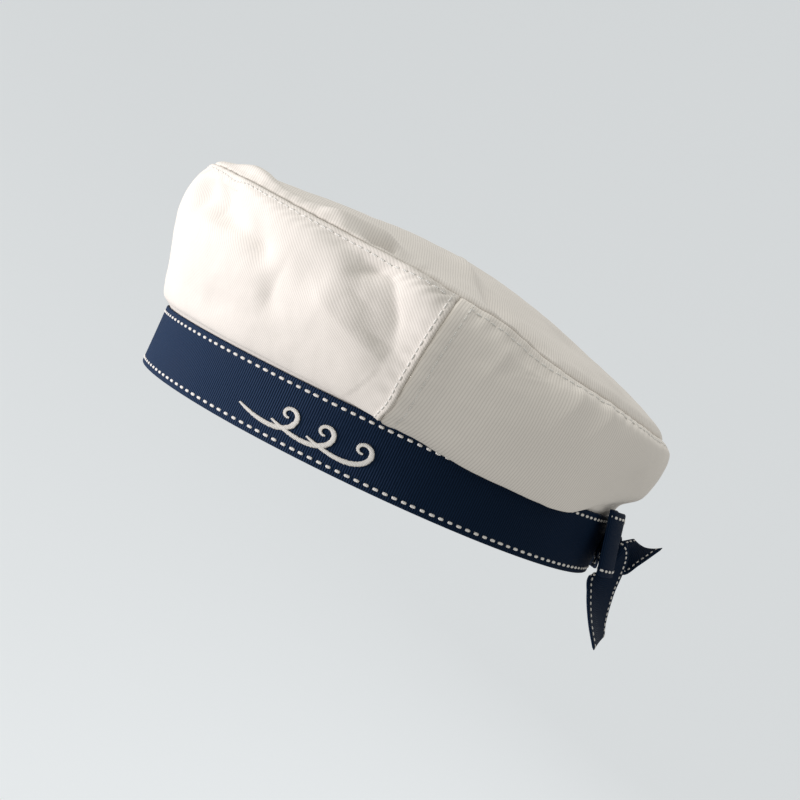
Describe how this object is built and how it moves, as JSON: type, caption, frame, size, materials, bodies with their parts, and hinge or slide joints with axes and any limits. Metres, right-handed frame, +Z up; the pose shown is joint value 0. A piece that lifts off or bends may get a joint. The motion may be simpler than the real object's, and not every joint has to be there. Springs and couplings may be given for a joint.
{
  "type": "sailor beret",
  "caption": "Soft white twill sailor beret on an oval head opening, with a navy grosgrain ribbon round its foot and a bow with short tails at the back.",
  "frame": {"origin": "middle of the oval head opening, level with the ribbon's lower edge, where the hat sits on the head", "axes": "+Z up through the crown, -Y to the front, +Y to the bow at the back, +X to the wearer's left"},
  "size_m": [0.2247, 0.2435, 0.1203],
  "materials": {
    "white_twill": "matt off-white cotton twill with fine diagonal lines and soft creases",
    "navy_grosgrain": "navy ribbed ribbon with a slight sheen",
    "white_thread": "glossy white sewing and embroidery thread"
  },
  "bodies": {
    "root": {"crown_tip": "white_twill", "side_panel_front": "white_twill", "side_panel_back": "white_twill", "ribbon_band": "navy_grosgrain", "bow_loops": "navy_grosgrain", "bow_knot": "navy_grosgrain", "bow_tail_left": "navy_grosgrain", "bow_tail_right": "navy_grosgrain"}
  },
  "joints": []
}
